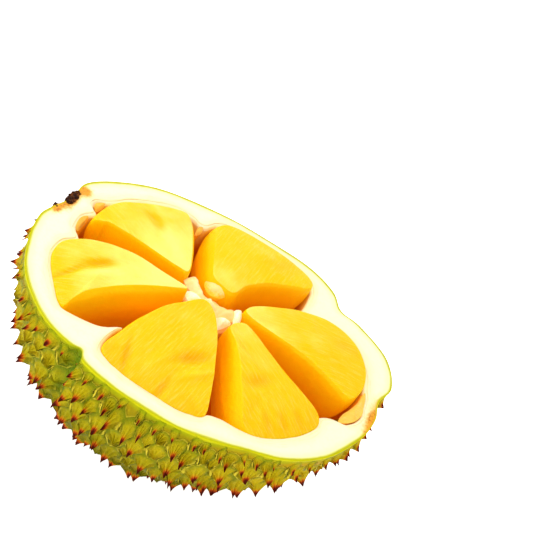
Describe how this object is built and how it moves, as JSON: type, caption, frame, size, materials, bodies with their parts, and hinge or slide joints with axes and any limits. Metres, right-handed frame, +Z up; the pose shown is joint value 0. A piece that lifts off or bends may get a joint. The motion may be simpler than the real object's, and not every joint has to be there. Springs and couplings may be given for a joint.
{
  "type": "half jackfruit",
  "caption": "Half a ripe jackfruit cut lengthwise: thick spiny green rind, pale flesh and golden fruit bulbs round a fibrous core.",
  "frame": {"origin": "on the ground under the middle of the fruit's bounding box", "axes": "+X from the stalk end to the blossom tip, +Z up out of the cut face"},
  "size_m": [0.3146, 0.2615, 0.1496],
  "materials": {
    "rind": "waxy green skin with brown spine tips, pale flesh inside",
    "bulb": "moist translucent fruit flesh",
    "lobe": "moist pale flesh",
    "core": "moist fibres",
    "stalk": "dry and rough"
  },
  "bodies": {
    "root": {"rind_half": "rind", "bulb_stalk_far": "bulb", "bulb_far": "bulb", "bulb_tip_far": "bulb", "bulb_tip_near": "bulb", "bulb_near": "bulb", "bulb_stalk_near": "bulb", "lobe_stalk": "lobe", "lobe_stalk_far": "lobe", "lobe_far": "lobe", "lobe_tip": "lobe", "core": "core", "stalk_stub": "stalk"}
  },
  "joints": []
}
